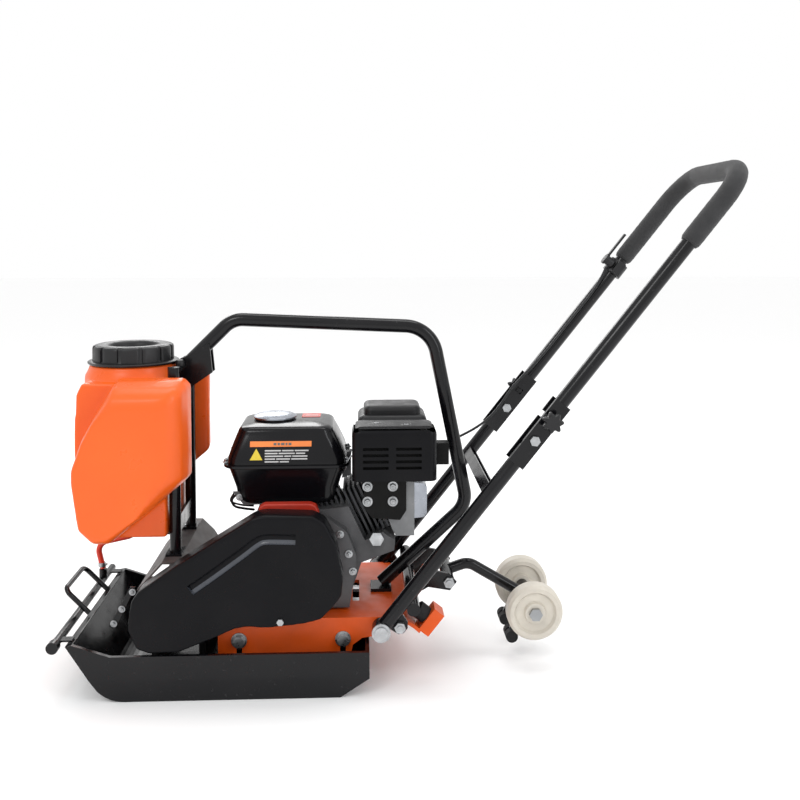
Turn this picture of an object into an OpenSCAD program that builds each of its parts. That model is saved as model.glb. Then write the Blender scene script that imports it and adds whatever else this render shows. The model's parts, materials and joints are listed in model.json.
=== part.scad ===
// Forward plate compactor with petrol engine, water tank, folding handle and transport wheels.
// Frame: origin at the middle of the sole, +X to the operator, +Y to the right side, +Z up, in mm.

/* [Base plate] */
// Length of the flat sole
sole_len = 364; // [350:1:368]
// Width of the base plate
plate_w = 360; // [350:1:364]
// Height of the side walls
wall_h = 79; // [74:1:79]
// Thickness of the sole
sole_t = 10; // [8:1:11]
// Height of the nose tip
toe_h = 98; // [96:1:98]

/* [Handle] */
// Lean of the handle from the ground
handle_tilt = 51.6; // [51.5:0.1:51.7]
// Half the distance between the handle tubes
handle_half = 150; // [149:1:151]
// Outer diameter of the frame tubes
tube_d = 25; // [24:0.5:25]
// Wall of the frame tubes
tube_wall = 2; // [1.5:0.5:3]
// Length from the fold hinge to the middle of the top bar
upper_len = 586; // [560:1:590]
// Diameter of the foam grip
foam_d = 36; // [32:1:37]

/* [Wheels] */
// Diameter of a transport wheel
wheel_d = 100; // [90:1:100]
// Width of a transport wheel
wheel_w = 30; // [26:1:30]

/* [Water tank] */
// Half the width of the water tank
tank_half = 169; // [160:1:170]
// Wall of the water tank
tank_wall = 4; // [3:0.5:5]

/* [Drive] */
// Pitch radius of the clutch drum
clutch_pitch = 56; // [54:1:57]
// Pitch radius of the exciter pulley
pulley_pitch = 36; // [34:1:37]

/* [Hidden] */
$fn = 64;
fine = 0.05;
gap = 0.3;
cut = 1;
tube_r = tube_d / 2;
foam_r = foam_d / 2;
plate_half = plate_w / 2;
sole_x0 = -(sole_len - 6) / 2;
sole_x1 = sole_x0 + sole_len;
pivot = [254, 105];
crank = [97, 226];
exciter = [-98, 132];
shaft_r = 12.5;
crank_r = 15;
belt_y = -157;
deck_z = 120;
deck_half = 134;
hinge_x = 415;
knob_x = 458;
plates_x = [364, 493];
axle = [531, 100];
wheel_y = 70;
cylinder_tilt = 25;
stop_x = 56;
stop_z = [-56.5, -37.6];

// A solid made from a side outline, from y0 to y1.
module side_slab(y0, y1) {
    translate([0, y1, 0]) rotate([90, 0, 0]) linear_extrude(y1 - y0) children();
}

// A solid made from a front outline in Y and Z, from x0 to x1.
module front_slab(x0, x1) {
    translate([x0, 0, 0]) rotate([90, 0, 90]) linear_extrude(x1 - x0) children();
}

// A round rod across the machine.
module rod_y(at, y0, y1, r) {
    translate([at[0], y1, at[1]]) rotate([90, 0, 0]) cylinder(h = y1 - y0, r = r);
}

// A round plate with a hole, across the machine.
module ring_y(at, y0, y1, r, hole) {
    difference() {
        rod_y(at, y0, y1, r);
        rod_y(at, y0 - cut, y1 + cut, hole);
    }
}

// A hexagon bolt head or nut across the machine.
module hex_y(at, y0, y1, r) {
    translate([at[0], y1, at[1]]) rotate([90, 0, 0]) cylinder(h = y1 - y0, r = r, $fn = 6);
}

module both_sides() {
    children();
    mirror([0, 1, 0]) children();
}

// Local frame of the handle: x along the tubes from the pivot, z to the front.
module handle_frame() {
    translate([pivot[0], 0, pivot[1]]) rotate([0, -handle_tilt, 0]) children();
}

// Side view place of a point given along the handle and to its front.
function from_handle(x, z) = pivot + [x * cos(handle_tilt) - z * sin(handle_tilt),
    x * sin(handle_tilt) + z * cos(handle_tilt)];
clevis = [113.9, -68];
wheel_pivot = from_handle(clevis[0], clevis[1]);

// Local frame of the cylinder: x along the bore from the crank axis.
module cylinder_frame() {
    translate([crank[0], 0, crank[1]]) rotate([0, -cylinder_tilt, 0]) children();
}

function unit(v) = v / norm(v);
function turn_of(a, b, c) = acos(unit(b - a) * unit(c - b));
function side_of(a, b, c) = sign((b - a)[0] * (c - b)[1] - (b - a)[1] * (c - b)[0]);
function setback(p, i, r) =
    (i == 0 || i == len(p) - 1) ? 0 : r[i] * tan(turn_of(p[i - 1], p[i], p[i + 1]) / 2);

// A bent bar in the XY plane through the corners p, with bend radius r[i] at each inner corner.
// Its ends run on by "more", and each straight reaches a little into its slightly slimmer bends.
lap = 0.5;
slim = 0.05;
module bent_bar(p, bends, r, more) {
    last = len(p) - 1;
    for (i = [0 : last - 1]) {
        dir = unit(p[i + 1] - p[i]);
        head = i == 0 ? -more : setback(p, i, bends) - lap;
        tail = i == last - 1 ? -more : setback(p, i + 1, bends) - lap;
        from = p[i] + dir * head;
        translate([from[0], from[1], 0]) rotate([0, 0, atan2(dir[1], dir[0])]) rotate([0, 90, 0])
            cylinder(h = norm(p[i + 1] - p[i]) - head - tail, r = r);
    }
    for (i = [1 : last - 1]) {
        dir = unit(p[i] - p[i - 1]);
        s = side_of(p[i - 1], p[i], p[i + 1]);
        from = p[i] - dir * setback(p, i, bends);
        centre = from + [-dir[1], dir[0]] * s * bends[i];
        start = atan2(dir[1], dir[0]) - s * 90;
        sweep = turn_of(p[i - 1], p[i], p[i + 1]);
        translate([centre[0], centre[1], 0]) rotate([0, 0, s > 0 ? start : start - sweep])
            rotate_extrude(angle = sweep) translate([bends[i], 0]) circle(r - slim);
    }
}

module bent_tube(p, bends, r, wall) difference() {
    bent_bar(p, bends, r, 0);
    if (wall > 0) bent_bar(p, bends, r - wall, cut);
}

// Stands the XY plane up as the machine's side view at distance y.
module upright(y) {
    translate([0, y, 0]) rotate([90, 0, 0]) children();
}

// ---- base plate ----
ramp = 48;
bend_r = 60;
bend_steps = 6;
rear_x = 234;
bevel_z = 39;
sole_side = 174;
function bend_points(r, inset) = [for (i = [0 : bend_steps])
    [sole_x0 + 7 - (r - inset) * sin(ramp * i / bend_steps), r - (r - inset) * cos(ramp * i / bend_steps)]];
toe_x = -267;

module base_plate() {
    color("#1b1b1d") {
        difference() {
            intersection() {
                side_slab(-plate_half, plate_half) polygon(concat(bend_points(bend_r, 0),
                    [[toe_x, toe_h], [toe_x + 10, toe_h + 2], [-195, wall_h], [rear_x, wall_h],
                    [rear_x, 34], [sole_x1, 0]]));
                front_slab(-300, 300) polygon([[-sole_side, 0], [-plate_half, bevel_z],
                    [-plate_half, 120], [plate_half, 120], [plate_half, bevel_z], [sole_side, 0]]);
            }
            intersection() {
                side_slab(-plate_half, plate_half) polygon(concat(bend_points(bend_r, sole_t),
                    [[toe_x + 11, toe_h], [toe_x + 12, 130], [rear_x - 7, 130], [rear_x - 7, 37],
                    [sole_x1 - 4, sole_t]]));
                front_slab(-300, 300) polygon([[-sole_side + 3, sole_t], [-plate_half + 7, bevel_z + 3],
                    [-plate_half + 7, 140], [plate_half - 7, 140], [plate_half - 7, bevel_z + 3],
                    [sole_side - 3, sole_t]]);
            }
        }
        both_sides() for (x = [12, 189]) difference() {
            translate([x - 24, 88, sole_t - 1]) cube([48, 8, 95]);
            rod_y([x, 83.5], 87, 97, 6.2);
        }
    }
}

// ---- exciter ----
module exciter_housing() color("#2a2a2c") {
    difference() {
        union() {
            rod_y(exciter, -94, 94, 48);
            translate([-145, -94, sole_t + fine]) cube([94, 188, 85]);
        }
        rod_y(exciter, -95, 95, 40);
        translate([-133, -95, sole_t - 1]) cube([70, 190, 62]);
    }
}

module exciter_covers() color("#3a3b3d") {
    both_sides() difference() {
        union() {
            rod_y(exciter, 94 + fine, 108, 48);
            rod_y(exciter, 78, 95, 39.8);
        }
        rod_y(exciter, 77, 94, 26 + fine);
        rod_y(exciter, 70, 120, 13.5);
    }
}

module exciter_bearings() color("#b8bcc0") both_sides() ring_y(exciter, 78.5, 93.5, 26, shaft_r + fine);

module exciter_shaft() color("#9a9ea2") {
    rod_y(exciter, -168, 104, shaft_r);
    intersection() {
        rod_y(exciter, -60, 60, 36);
        translate([exciter[0] - 40, -61, exciter[1] - 40]) cube([80, 122, 32]);
    }
    ring_y(exciter, -60, 60, 20, shaft_r - 1);
}

// Grooved wheel for the belt: pitch radius p.
module grooved(at, p, y0, y1, bore) {
    translate([at[0], belt_y, at[1]]) rotate([90, 0, 0]) rotate_extrude()
        polygon([[bore, y0], [p + 5, y0], [p + 5, -8.5], [p - 5, -6], [p - 5, 6], [p + 5, 8.5],
        [p + 5, y1], [bore, y1]]);
}

module driven_pulley() color("#8d9094") grooved(exciter, pulley_pitch, -12, 12, shaft_r + fine);

// ---- belt drive ----
belt_dir = atan2(crank[1] - exciter[1], crank[0] - exciter[0]);
belt_len = norm(crank - exciter);
belt_lean = asin((clutch_pitch - pulley_pitch) / belt_len);
belt_steps = 14;
function belt_arc(at, r, a0, a1) = [for (i = [0 : belt_steps])
    at + r * [cos(a0 + (a1 - a0) * i / belt_steps), sin(a0 + (a1 - a0) * i / belt_steps)]];
function belt_outline(e) = concat(
    belt_arc(exciter, pulley_pitch + e, belt_dir + 90 + belt_lean, belt_dir + 270 - belt_lean),
    belt_arc(crank, clutch_pitch + e, belt_dir - 90 - belt_lean, belt_dir + 90 + belt_lean));

module drive_belt() color("#161616") side_slab(belt_y - 5, belt_y + 5) difference() {
    polygon(belt_outline(4));
    polygon(belt_outline(-3.6));
}

// ---- belt guard ----
guard = [[-167, 124], [-160, 169], [-148, 186], [-93, 224], [42, 308], [58, 312], [140, 309], [160, 298],
    [179, 261], [190, 205], [188, 174], [176, 158], [152, 134], [120, 127], [65, 122], [27, 124], [9, 121],
    [-19, 108], [-83, 83], [-130, 81], [-152, 90]];

// Bent groove in the outer face of the guard.
groove = [[-66.6, 194.5], [-57.4, 181.5], [56.5, 262], [112, 263], [112, 279], [51.5, 278]];

module belt_guard_cover() color("#1a1b1e") difference() {
    side_slab(-178, -137) polygon(guard);
    side_slab(-175.5, -136) offset(delta = -2.5) polygon(guard);
    side_slab(-179, -176.5) polygon(groove);
}

module belt_guard_back() color("#d8451c") {
    difference() {
        union() {
            side_slab(-137 + fine, -135) offset(delta = 1) polygon(guard);
            side_slab(-137 + fine, -118) polygon([[45, 306], [52, 325], [140, 325], [152, 306]]);
        }
        rod_y(crank, -140, -130, 40);
        rod_y(exciter, -140, -130, 22);
        translate([46, -140, 60]) cube([100, 10, 54.8]);
        translate([-25, -136, 50]) cube([230, 22, 71]);
    }
}

// ---- engine bed ----
module engine_bed() color("#f2600f") {
    difference() {
        translate([-45, -130, deck_z - 6]) cube([321, 260, 6]);
        for (x = [20, 205]) translate([x, -60, deck_z - 7]) cube([12, 100, 8]);
    }
    side_slab(-133, 133) polygon([[275, deck_z - 6], [275, deck_z], [300, 112], [314, 103],
        [324, 94.5], [320, 90], [311, 98], [299, 106]]);
    both_sides() difference() {
        union() {
            side_slab(128, deck_half) polygon([[-45, deck_z], [-45, 100], [-24, 96], [-24, 59], [203, 59],
                [206, 72], [222, 84], [254, 88], [264, 90], [271, 98], [271, 112], [264, deck_z]]);
            handle_frame() translate([33.5, 95, -77.5]) cube([45, 38, 21]);
        }
        handle_frame() translate([37.5, 94, -73.5]) cube([37, 34, 13]);
        for (x = [12, 189]) {
            rod_y([x, 83.5], 127, 135, 6.2);
            translate([x - 5, 127, 50]) cube([10, 8, 31]);
        }
        rod_y(pivot, 127, 135, 8 + fine);
    }
    difference() {
        rod_y(pivot, -129, 129, 15);
        rod_y(pivot, -140, 140, 8 + fine);
    }
}

module rubber_mounts() color("#202022") {
    both_sides() {
        for (x = [12, 189]) ring_y([x, 83.5], 96 + fine, 128 - fine, 19, 6.2);
        handle_frame() translate([stop_x, 114, stop_z[0] + fine])
            cylinder(h = stop_z[1] - stop_z[0], r = 15);
    }
}

module mount_bolts() color("#b9bdc1") both_sides() for (x = [12, 189]) {
    rod_y([x, 83.5], 84, 138, 6);
    ring_y([x, 83.5], deck_half + fine, 136.2, 13.5, 5);
    hex_y([x, 83.5], 136, 143, 10.5);
    hex_y([x, 83.5], 80, 87.9, 10.5);
}

// ---- front hood and posts ----
hood_half = 125;
hood_top = 217;
module front_hood() color("#9b9da0") difference() {
    side_slab(-hood_half, hood_half) polygon([[-162, 170], [-119.5, hood_top], [-91, hood_top],
        [-68, 194], [-42, 150], [-36, deck_z + 3], [-15, deck_z + 3], [-15, deck_z + fine],
        [-39, deck_z + fine], [-45, 149], [-71, 192], [-92.5, hood_top - 3], [-118, hood_top - 3],
        [-160, 168]]);
    translate([-140, -80, 190]) rotate([0, -45, 0]) cylinder(h = 40, r = 5, center = true);
}

post_x = -105;
post_y = 75;
hoop_foot = 547.6;
module front_posts() color("#19191b") {
    both_sides() {
        translate([post_x, post_y, hood_top + fine]) cylinder(h = 328, r = 10);
        translate([post_x - 14, post_y - 20, hood_top + fine]) cube([28, 40, 4]);
    }
    translate([-190, -60, 245]) cube([85, 120, 5]);
    translate([-108, -80, 245]) cube([6, 160, 30]);
    rod_y([post_x, hoop_foot - 12], -post_y, post_y, 7.5);
    both_sides() side_slab(tube_r + fine, tube_r + 4) polygon([[post_x - 7, hoop_foot - 24],
        [post_x - 7, hoop_foot], [-93, 557], [-52, 580], [-47, 527], [-85, 501]]);
}

module hoop() color("#19191b") {
    upright(0) bent_tube([[-87.3, hoop_foot], [-12, 622], [350, 606], [417, 276], [258.5, 131]],
        [0, 45, 60, 45, 0], tube_r, tube_wall);
    translate([238, -22, deck_z + fine]) cube([38, 44, 6]);
}

// ---- water system ----
tank_body = [[-258, 518], [-116.5, 518], [-116.5, 251], [-198, 251], [-225, 255], [-256, 283],
    [-268, 340], [-273, 400], [-272, 440], [-267, 500]];
tank_wing = [[-192, 530], [-82, 530], [-71, 518], [-71, 364], [-78, 356], [-202, 253],
    [-227, 252.6], [-250, 278], [-263, 363], [-263, 385], [-245, 435]];
wing_plan = [[-300, 60], [-71, 60], [-71, 110], [-77, 145], [-100, tank_half], [-300, tank_half]];
wing_front = [[60, 240], [157, 240], [tank_half, 262], [tank_half, 503], [157, 518], [110, 530], [60, 530]];

// One wing of the tank, shrunk by "skin" on all sides.
module wing(skin) intersection() {
    side_slab(90, 180) offset(delta = -skin) polygon(tank_wing);
    translate([0, 0, 230]) linear_extrude(310) offset(delta = -skin) polygon(wing_plan);
    front_slab(-300, -60) offset(delta = -skin) polygon(wing_front);
}

cap_at = [-191, 0];
neck_r = 77;

module water_tank() color("#ff6a1a") difference() {
    union() {
        side_slab(-95, 95) polygon(tank_body);
        both_sides() wing(0);
        translate([cap_at[0], cap_at[1], 515]) cylinder(h = 30, r = neck_r);
    }
    side_slab(-97, 97) offset(delta = -tank_wall) polygon(tank_body);
    both_sides() wing(tank_wall);
    translate([cap_at[0], cap_at[1], 500]) cylinder(h = 60, r = 70);
}

module tank_cap() color("#151516") translate([cap_at[0], cap_at[1], 545 + gap]) {
    cylinder(h = 5, r = 80);
    translate([0, 0, -10]) cylinder(h = 11, r = 69.5);
    difference() {
        union() {
            cylinder(h = 33, r = 69);
            for (i = [0 : 11]) rotate([0, 0, i * 30]) translate([60, -14, 4]) cube([11.5, 28, 28]);
        }
        translate([0, 0, 12]) cylinder(h = 30, r = 42);
    }
}

valve = [-220, 118];
module water_valve() color("#1c1c1e") {
    translate([valve[0], valve[1], 221]) cylinder(h = 31.5, r = 9);
    translate([valve[0], valve[1], 236]) cylinder(h = 8, r = 14);
    rod_y([valve[0], 229], valve[1], valve[1] + 14, 5.5);
}

module valve_lever() color("#c8321c") {
    rod_y([valve[0], 229], valve[1] + 14 + gap, valve[1] + 20, 7);
    translate([valve[0] - 4, valve[1] + 15, 202]) cube([8, 5, 27]);
}

bar_at = [-285, 100];
bar_r = 7;
hose_r = 5.5;
module water_hose() color("#d8301c") {
    upright(valve[1]) bent_tube([[-220, 221], [-221, 188], [-296, 172], [-285, 122.5]],
        [0, 20, 20, 0], hose_r, 1.5);
}

module spray_bar() color("#19191b") {
    rod_y(bar_at, -185, 185, bar_r);
    rod_y(bar_at, -190, -176, 10);
    both_sides() translate([-292, 150, toe_h + 2 + fine]) cube([32, 16, 3]);
    translate([bar_at[0], valve[1], bar_at[1]]) cylinder(h = 20.9, r = 7.5);
}

module carry_handle() color("#19191b")
    translate([-262, 0, toe_h + 6.5]) rotate([0, 45.9, 0]) rotate([0, -90, 0]) rotate([0, 0, 90])
        rotate([90, 0, 0]) rotate([0, 0, 90]) carry_shape();

module carry_shape() bent_tube([[0, -57], [60, -57], [60, 57], [0, 57]], [0, 14, 14, 0], 4.5, 0);

// ---- engine ----
module crankcase() color("#6f7274") difference() {
    union() {
        side_slab(-79, 45) polygon([[22, deck_z + fine], [195, deck_z + fine], [205, 150], [221, 196],
            [279, 217], [281, 235], [262, 247], [248, 262], [214, 298], [150, 292], [60, 290], [20, 250],
            [16, 170]]);
    }
    rod_y(crank, -80, 35, 58);
    rod_y(crank, 30, 50, crank_r + fine);
    cylinder_frame() translate([40, 0, 0]) rotate([0, 90, 0]) cylinder(h = 100, r = 34);
    cylinder_frame() translate([fin_start - 6 - fine, -90, -46.4]) cube([120, 180, 140]);
}

module side_cover() color("#7c7f82") difference() {
    union() {
        side_slab(-100, -79 - fine) polygon([[22, 124], [200, 124], [212, 200], [212, 215], [196, 258],
            [150, 290], [60, 288], [22, 248]]);
        rod_y(crank, -112, -99, 34);
    }
    rod_y(crank, -120, -70, crank_r + fine);
    side_slab(-95, -78) polygon([[40, 140], [182, 140], [192, 210], [140, 275], [62, 272], [36, 240]]);
}

fin_start = 128;
fin_step = 9;
module cylinder_block() color("#55585a") cylinder_frame() difference() {
    union() {
        translate([fin_start - 6, 0, 0]) rotate([0, 90, 0]) cylinder(h = 50, r = 44);
        for (i = [0 : 5]) translate([fin_start + i * fin_step - 6, -62, -46]) cube([4, 124, 92]);
    }
    translate([fin_start - 20, 0, 0]) rotate([0, 90, 0]) cylinder(h = 100, r = 34);
}

plug_at = [252, -15, 343];
module plug_frame() translate(plug_at) rotate([0, -cylinder_tilt, 0]) children();
module cylinder_head() color("#8c8f91") difference() {
    side_slab(-60, 60) polygon([[242, 340], [316, 334], [316, 237], [283, 237], [276, 250]]);
    for (i = [0 : 2]) translate([268 + i * 10, -70, 336 - 14]) cube([5, 140, 30]);
    plug_frame() translate([0, 0, -12]) cylinder(h = 20, r = 7 + fine);
}

module rocker_cover() color("#c4c8cb") {
    side_slab(-52, 52) polygon([[316 + fine, 266], [316 + fine, 331], [334, 329], [339, 322], [339, 275],
        [334, 268]]);
}

module spark_plug() color("#d7d7d2") plug_frame() {
    translate([0, 0, -11]) cylinder(h = 14, r = 7);
    translate([0, 0, 3]) cylinder(h = 11, r = 9, $fn = 6);
    translate([0, 0, 13]) cylinder(h = 23, r = 6);
    translate([0, 0, 35]) cylinder(h = 12, r = 8);
}

fill = [64, 0];
module fuel_tank() color("#131315") difference() {
    intersection() {
        side_slab(-100, 100) polygon([[-21, 373], [-14, 378], [2, 432], [8, 436], [167, 436], [173, 432],
            [194, 378], [200, 373], [200, 368], [190, 366], [185, 312], [168, 296], [12, 296],
            [-8, 312], [-13, 366], [-21, 368]]);
        front_slab(-30, 210) polygon([[-95, 373], [-88, 378], [-68, 436], [60, 436], [78, 378], [85, 373],
            [85, 368], [76, 366], [72, 325], [40, 308], [35, 296], [-72, 296], [-84, 312], [-86, 366],
            [-95, 368]]);
    }
    translate([8, -62, 303]) cube([156, 92, 127]);
    translate([fill[0], fill[1], 400]) cylinder(h = 50, r = 20);
}

module fuel_cap() color("#c9cdd0") translate([fill[0], fill[1], 436 + gap]) {
    translate([0, 0, -8]) cylinder(h = 9, r = 19.5);
    cylinder(h = 9, r = 39);
    translate([0, 0, 8]) cylinder(h = 5, r = 33);
}

module muffler() color("#4a4a4b") {
    translate([217, -108, 360]) cube([120, 58, 74]);
    translate([336, -88, 372]) cube([39, 26, 38]);
    side_slab(-68, -62 - fine) polygon([[226, 290], [240, 272], [290, 268], [301, 285], [301, 346],
        [226, 346]]);
    translate([245, -68, 343]) cube([40, 18, 20]);
}

module muffler_guard() color("#1d1d1f") difference() {
    translate([205, -120, 351]) cube([147, 80, 94]);
    translate([207, -118, 350]) cube([143, 80, 93]);
    for (i = [0 : 3], x = [224, 281]) translate([x, -125, 372 + i * 11]) cube([44, 10, 5]);
    translate([345, -92, 365]) cube([10, 34, 52]);
    for (x = [246, 304]) translate([x, -98, 440]) cylinder(h = 10, r = 6);
    for (i = [0 : 2]) translate([334, -125, 362 + i * 9]) rotate([-90, 0, 0]) cylinder(h = 10, r = 2.5);
}

module air_cleaner_base() color("#232325") {
    translate([217, 12, 352]) cube([125, 96, 44]);
    translate([240, 84, 340]) cylinder(h = 13, r = 15);
}

module air_cleaner_lid() color("#232325") difference() {
    union() {
        translate([215, 10, 396 + fine]) cube([129, 100, 44]);
        translate([225, 20, 439]) cube([109, 80, 17]);
    }
    translate([219, 14, 395]) cube([121, 92, 41]);
    translate([280, 60, 450]) cylinder(h = 10, r = 17);
}

module carburettor() color("#9fa2a4") {
    translate([222, 62 + fine, 272]) cube([40, 42, 66]);
    translate([240, 84, 336]) cylinder(h = 4 - fine, r = 17);
    translate([242, 84, 244]) cylinder(h = 29, r = 17);
    for (at = [[232, 326], [232, 282], [252, 306]]) rod_y(at, 103, 110, 4);
}

fan_r = 78;
pull_tilt = 30;
module fan_housing() color("#1e1e20") difference() {
    union() {
        rod_y(crank, 45 + fine, 130, fan_r);
        translate([30, 45 + fine, 124]) cube([134, 60, 60]);
        for (y = [68, 89]) difference() {
            translate([18, y, 151]) cube([13, 5, 12]);
            rod_y(switch_at, y - cut, y + 6, 2 + fine);
        }
        translate([150, 62, 232]) cube([60, 40, 46]);
    }
    rod_y(crank, 50, 140, fan_r - 4);
    rod_y(crank, 40, 60, 24);
    translate([160, 66, 236]) cube([60, 32, 38]);
}

module recoil_cover() color("#1a1a1c") difference() {
    union() {
        rod_y(crank, 130 + fine, 168, fan_r);
        translate([crank[0], 176, crank[1]]) rotate([0, pull_tilt, 0]) translate([0, 0, 40])
            cylinder(h = 38, r = 7);
        rod_y(crank, 160, 178, 45);
    }
    rod_y(crank, 129, 164, fan_r - 3);
    for (i = [0 : 11]) if (i != 2) translate([crank[0], 150, crank[1]]) rotate([0, i * 30 - 30, 0])
        translate([52, 0, -4]) cube([18, 40, 8]);
}

module recoil_grip() color("#151516") translate([crank[0], 176, crank[1]]) rotate([0, pull_tilt, 0])
    translate([0, 0, 78 + gap]) {
        cylinder(h = 6, r = 5);
        translate([-22, -6, 5]) cube([44, 12, 14]);
    }

switch_at = [22, 157];
module engine_switch() color("#c2231c") {
    rod_y(switch_at, 71, 91, 2);
    side_slab(74, 88) polygon([[26, 152], [26, 162], [19, 167], [17, 157], [19, 147]]);
}

module throttle_arm() color("#b9bdc1") {
    rod_y([252, 306], 110 + gap, 113, 6);
    side_slab(110 + gap, 112.5) polygon([[248, 306], [256, 306], [262, 340], [256, 342]]);
}

module choke_lever() color("#2b2b2d") {
    rod_y([232, 326], 110 + gap, 114, 6);
    side_slab(110 + gap, 113) polygon([[232, 330], [232, 322], [206, 320], [206, 332]]);
}

module fuel_tap() color("#2b2b2d") {
    rod_y([232, 282], 110 + gap, 114, 6);
    side_slab(110 + gap, 113) polygon([[232, 286], [232, 278], [206, 276], [206, 288]]);
}

module crankshaft() color("#a5a9ac") {
    rod_y(crank, -168, -20, crank_r);
    rod_y(crank, 12, 100, crank_r);
    for (y = [-22, 10]) hull() {
        rod_y(crank, y, y + 10, 24);
        rod_y([crank[0], crank[1] - 24], y, y + 10, 26);
    }
    rod_y([crank[0], crank[1] + 22], -22, 20, 12);
    for (y = [-22, 10]) translate([crank[0] - 14, y, crank[1]]) cube([28, 10, 34]);
}

module clutch_drum() color("#85898c") grooved(crank, clutch_pitch, -13, 13, crank_r + fine);

module flywheel() color("#77797b") {
    ring_y(crank, 62, 84, 64, crank_r + fine);
    for (i = [0 : 15]) translate([crank[0], 84, crank[1]]) rotate([0, i * 22.5, 0])
        translate([40, -1, -1.5]) cube([24, 14, 3]);
}

// ---- handle ----
bottom_z = -23.5;
bottom_x = 60;
eye_half = 13.5;
channel_x = 288;
module lower_handle() color("#161618") difference() {
    union() {
        handle_frame() both_sides() {
            difference() {
                translate([10, handle_half, 0]) rotate([0, 90, 0]) cylinder(h = 386, r = tube_r);
                translate([20, handle_half, 0]) rotate([0, 90, 0])
                    cylinder(h = 390, r = tube_r - tube_wall);
            }
            translate([0, handle_half + eye_half, 0]) rotate([90, 0, 0]) cylinder(h = 2 * eye_half, r = 15);
            fishplates();
            clevis_plate();
            lug();
        }
        handle_frame() {
            translate([bottom_x, handle_half, bottom_z]) rotate([90, 0, 0])
                cylinder(h = 2 * handle_half, r = tube_r - 1);
            translate([channel_x, -141.5, -8]) cube([4, 283, 16]);
            for (z = [-8, 5]) translate([channel_x, -141.5, z]) cube([20, 283, 3]);
        }
    }
    rod_y(pivot, -170, 170, 8 + fine);
}

// A lug under the foot of each tube, for the stop bolt.
lug_at = [22, -24];
module lug() difference() {
    translate([0, 146, 0]) rotate([90, 0, 0]) linear_extrude(6) polygon([[8, -8], [10, -30], [17, -36],
        [28, -36], [36, -30], [44, -8]]);
    translate([lug_at[0], 160, lug_at[1]]) rotate([90, 0, 0]) cylinder(h = 30, r = 5 + fine);
}

// Two plates on each side of a tube, with a notch for the knob and a hole for the hinge bolt.
module fishplates() {
    for (y = [handle_half - tube_r - 3.3, handle_half + tube_r + gap]) difference() {
        translate([plates_x[0], y, -15]) cube([plates_x[1] - plates_x[0], 3, 30]);
        translate([knob_x - 6, y - 1, -5]) cube([11, 5, 30]);
        translate([hinge_x, y + 5, 0]) rotate([90, 0, 0]) cylinder(h = 10, r = 5 + fine);
    }
    translate([plates_x[0], handle_half - tube_r - 3.3, -15]) cube([26, tube_d + 6.6, 5]);
}

module clevis_plate() difference() {
    translate([0, 63, 0]) rotate([90, 0, 0]) linear_extrude(6) polygon([[50, -20], [54, -32],
        [84, -44], [103, -79], [123, -79], [125, -57], [112, -30], [80, -20]]);
    translate([clevis[0], 70, clevis[1]]) rotate([90, 0, 0]) cylinder(h = 20, r = 6 + fine);
}

module handle_bolts() color("#c3c7ca") {
    both_sides() {
        rod_y(pivot, -1, 165, 8);
        rod_y(pivot, 163.5 + fine, 167, 16);
        rod_y(pivot, 166, 170, 11);
    }
    handle_frame() {
        both_sides() {
            translate([lug_at[0], 156, lug_at[1]]) rotate([90, 0, 0]) cylinder(h = 22, r = 5);
            translate([lug_at[0], 154, lug_at[1]]) rotate([90, 0, 0]) cylinder(h = 7.9, r = 10, $fn = 6);
            translate([lug_at[0], 139.9, lug_at[1]]) rotate([90, 0, 0]) cylinder(h = 4, r = 9, $fn = 6);
            translate([hinge_x, 170, 0]) rotate([90, 0, 0]) cylinder(h = 40, r = 5);
            translate([hinge_x, 172, 0]) rotate([90, 0, 0]) cylinder(h = 6.1, r = 9, $fn = 6);
            translate([hinge_x, 134.1, 0]) rotate([90, 0, 0]) cylinder(h = 6, r = 9, $fn = 6);
        }
        translate([clevis[0], 72, clevis[1]]) rotate([90, 0, 0]) cylinder(h = 144, r = 6);
        both_sides() translate([clevis[0], 69, clevis[1]]) rotate([90, 0, 0])
            cylinder(h = 5.9, r = 10, $fn = 6);
    }
}

top_bend = 70;
stud_end = 33;
stud_r = 4;
module upper_handle() color("#161618") difference() {
    handle_frame() {
        bent_tube([[hinge_x - 13, -handle_half], [hinge_x + upper_len, -handle_half],
            [hinge_x + upper_len, handle_half], [hinge_x - 13, handle_half]],
            [0, top_bend, top_bend, 0], tube_r, tube_wall);
        both_sides() translate([hinge_x, handle_half + tube_r - 0.5, 0]) rotate([90, 0, 0])
            cylinder(h = tube_d - 1, r = 8);
        both_sides() translate([knob_x, handle_half + stud_end, 0]) rotate([90, 0, 0])
            cylinder(h = stud_end + tube_r + 3, r = stud_r);
    }
    handle_frame() translate([hinge_x, 180, 0]) rotate([90, 0, 0]) cylinder(h = 360, r = 5 + fine);
}

foam_near = 837;
foam_far = 792;
module foam_grip() color("#262628") handle_frame() difference() {
    bent_tube([[foam_near, -handle_half], [hinge_x + upper_len, -handle_half],
        [hinge_x + upper_len, handle_half], [foam_far, handle_half]],
        [0, top_bend, top_bend, 0], foam_r, foam_r - tube_r - fine);
}

clamp_x = 770;
module throttle_clamp() color("#19191b") handle_frame() difference() {
    union() {
        translate([clamp_x - 14, handle_half, 0]) rotate([0, 90, 0]) cylinder(h = 28, r = 19);
        translate([clamp_x - 14, handle_half - 26, -8]) cube([28, 52, 16]);
        translate([clamp_x, handle_half - 16, 14]) cylinder(h = 14, r = 9);
    }
    translate([clamp_x - 20, handle_half, 0]) rotate([0, 90, 0]) cylinder(h = 40, r = tube_r + fine);
    translate([clamp_x, handle_half - 16, 10]) cylinder(h = 30, r = 3 + fine);
}

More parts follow.
